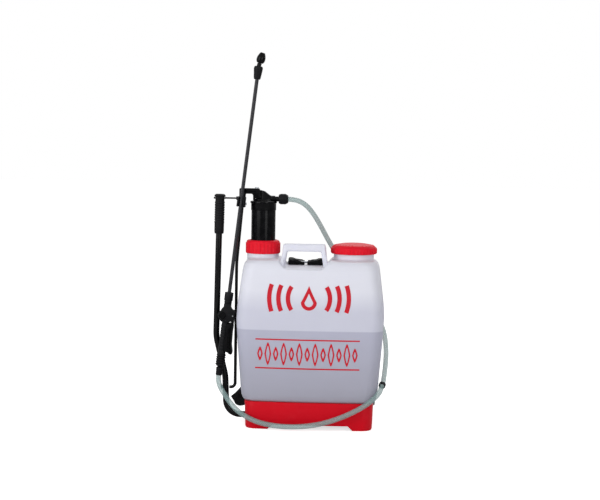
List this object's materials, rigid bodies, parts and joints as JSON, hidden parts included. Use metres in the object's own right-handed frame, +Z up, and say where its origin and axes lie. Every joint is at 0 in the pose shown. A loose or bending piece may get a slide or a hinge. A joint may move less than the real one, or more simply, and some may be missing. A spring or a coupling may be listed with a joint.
{
  "type": "knapsack sprayer",
  "caption": "Knapsack sprayer with a translucent tank on a moulded base, hand pump worked by a side lever, shoulder straps, and a hose to a trigger gun and lance.",
  "frame": {"origin": "on the floor under the middle of the tank", "axes": "+X to the right seen from the front, +Y towards the wearer's back, +Z up"},
  "size_m": [0.4519, 0.2254, 0.9457],
  "materials": {
    "tank_plastic": "translucent natural polyethylene, satin",
    "red_plastic": "bright red moulded plastic",
    "black_plastic": "black moulded plastic, slightly glossy",
    "black_matte": "black moulded plastic, matt",
    "black_steel": "black powder-coated steel",
    "zinc_steel": "zinc-plated steel",
    "grey_tube": "dark grey coated tube",
    "hose_pvc": "grey-green braided PVC",
    "webbing": "black webbing and padding",
    "seal_rubber": "black rubber",
    "mesh_plastic": "white mesh basket",
    "nylon": "natural nylon"
  },
  "bodies": {
    "tank": {"tank": "tank_plastic", "base": "red_plastic", "lever_bush": "nylon", "pump_collar": "red_plastic", "neck_gasket": "seal_rubber", "pump_cylinder": "nylon", "guide_bush": "black_matte", "intake_cage": "nylon", "inlet_ball": "nylon", "strap_bar": "zinc_steel", "strap_loop_left": "webbing", "strap_loop_right": "webbing", "shoulder_pad_left": "webbing", "shoulder_pad_right": "webbing", "strap_web_left": "webbing", "strap_web_right": "webbing", "strap_hook_left": "black_matte", "strap_hook_right": "black_matte", "hose_upper": "hose_pvc", "hose_lower": "hose_pvc", "hose_clip": "black_matte"},
    "lever": {"lever_tube": "black_steel", "lever_grip": "black_matte", "shaft_clip": "zinc_steel", "hook_clip": "black_matte"},
    "pump": {"air_chamber": "black_plastic", "piston_cup": "seal_rubber", "delivery_tube": "nylon", "pump_head": "black_plastic", "outlet_nut": "black_matte", "pump_arm": "black_plastic", "arm_bolt": "zinc_steel", "lever_cradle_loop": "black_matte", "lance_clip": "black_matte"},
    "link": {"connecting_rod": "black_steel", "rod_clip": "zinc_steel"},
    "lance": {"gun_body": "black_matte", "trigger_pin": "zinc_steel", "valve_cap": "black_plastic", "gun_nut": "black_matte", "lance_tube": "grey_tube", "hose_nut": "black_matte", "nozzle_nut": "black_matte", "nozzle_stem": "black_plastic"},
    "trigger": {"trigger": "black_plastic"},
    "nozzle": {"nozzle_cap": "black_plastic"},
    "cap_seal": {"filler_seal": "seal_rubber"},
    "filler_cap": {"filler_cap": "red_plastic", "vent_valve": "seal_rubber"},
    "strainer": {"filler_strainer": "mesh_plastic"}
  },
  "joints": [
    {"name": "lever_swing", "type": "hinge", "parent": "tank", "child": "lever", "pos_m": [-0.2186, 0, 0.022], "axis": [-1, 0, 0], "range_deg": [0, 84]},
    {"name": "pump_stroke", "type": "slide", "parent": "tank", "child": "pump", "axis": [0, 0, -1], "range_m": [0, 0.068], "deforming": ["hose_upper"]},
    {"name": "rod_swing", "type": "hinge", "parent": "pump", "child": "link", "pos_m": [-0.182, 0, 0.563], "axis": [1, 0, 0], "range_deg": [0, 8.55]},
    {"name": "lance_tip", "type": "hinge", "parent": "pump", "child": "lance", "pos_m": [-0.235, -0.026, 0.1256], "axis": [1, 0, 0], "range_deg": [0, 22], "deforming": ["hose_lower"]},
    {"name": "trigger_press", "type": "hinge", "parent": "lance", "child": "trigger", "pos_m": [-0.19988, -0.026, 0.27956], "axis": [0, 1, 0], "range_deg": [0, 4.3], "stiffness_Nm_per_rad": 1.2, "springref_deg": -8.59},
    {"name": "nozzle_turn", "type": "hinge", "parent": "lance", "child": "nozzle", "pos_m": [-0.14336, -0.026, 0.90926], "axis": [0.2874, 0, 0.9578], "range_deg": [0, 270]},
    {"name": "cap_lift", "type": "slide", "parent": "tank", "child": "cap_seal", "axis": [0, 0, 1], "range_m": [0, 0.16]},
    {"name": "cap_turn", "type": "hinge", "parent": "cap_seal", "child": "filler_cap", "pos_m": [0.1035, 0, 0.45], "axis": [0, 0, 1], "continuous": true},
    {"name": "strainer_lift", "type": "slide", "parent": "tank", "child": "strainer", "axis": [0, 0, 1], "range_m": [0, 0.075]}
  ],
  "couplings": [
    {"joint": "pump_stroke", "follows": "lever_swing", "m_per_rad": 0.04628},
    {"joint": "rod_swing", "follows": "lever_swing", "ratio": 0.10119},
    {"joint": "strainer_lift", "follows": "cap_lift", "ratio": 0.46}
  ]
}
